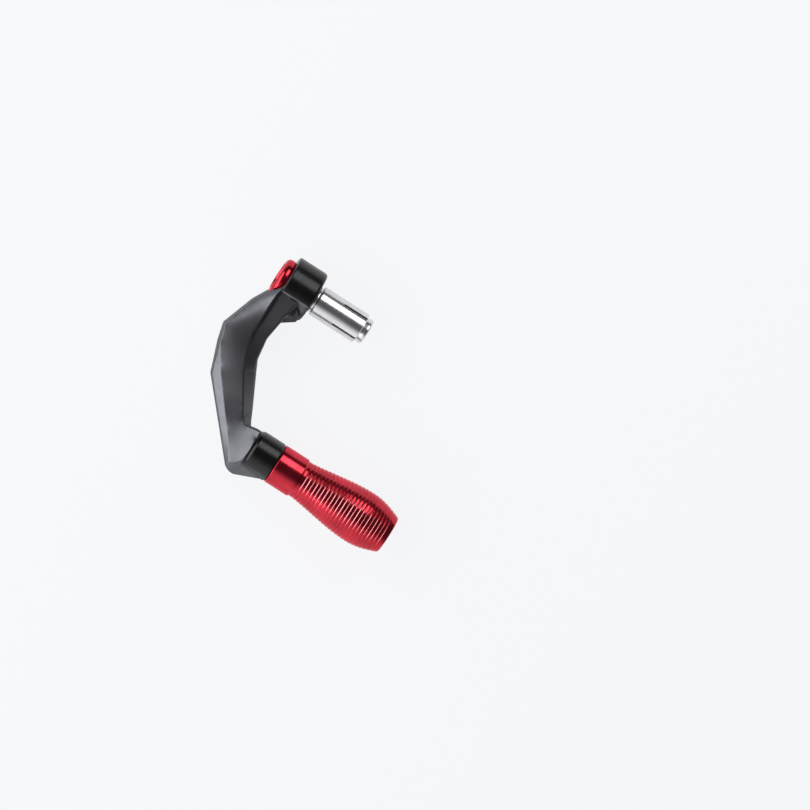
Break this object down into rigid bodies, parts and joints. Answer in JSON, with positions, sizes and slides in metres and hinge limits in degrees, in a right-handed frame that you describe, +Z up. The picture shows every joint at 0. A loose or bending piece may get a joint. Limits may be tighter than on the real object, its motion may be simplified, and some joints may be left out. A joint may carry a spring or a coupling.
{
  "type": "brake lever guard",
  "caption": "Bar-end lever guard: faceted black arm from an expanding bar plug round the lever's end to a grooved red bumper handle.",
  "frame": {"origin": "on the bar's axis, at the shoulder of the expander sleeve, which is the pos of the mount bar_end_plug", "axes": "+X along the bar's axis into the bar; the handle lies ahead of the bar at -Y; +Z up, square to the arm's middle plane"},
  "size_m": [0.1264, 0.1095, 0.028],
  "materials": {
    "arm_black": "satin black anodised",
    "anodised_red": "bright red anodised",
    "screw_steel": "plain steel",
    "bright_aluminium": "bright turned"
  },
  "bodies": {
    "plug": {"expander_sleeve": "bright_aluminium"},
    "guard": {"guard_arm": "arm_black", "bumper_handle": "anodised_red", "handle_screw": "screw_steel", "cup_washer": "anodised_red"},
    "bolt": {"clamp_bolt": "screw_steel"},
    "wedge": {"wedge_nut": "bright_aluminium"}
  },
  "joints": [
    {"name": "guard_swivel", "type": "hinge", "parent": "plug", "child": "guard", "pos_m": [0, 0, 0], "axis": [-1, 0, 0], "continuous": true},
    {"name": "bolt_turn", "type": "hinge", "parent": "plug", "child": "bolt", "pos_m": [0, 0, 0], "axis": [1, 0, 0], "range_deg": [0, 720]},
    {"name": "wedge_draw", "type": "slide", "parent": "plug", "child": "wedge", "axis": [-1, 0, 0], "range_m": [0, 0.002]}
  ],
  "couplings": [
    {"joint": "bolt_turn", "follows": "wedge_draw", "rad_per_m": 6283.2}
  ]
}
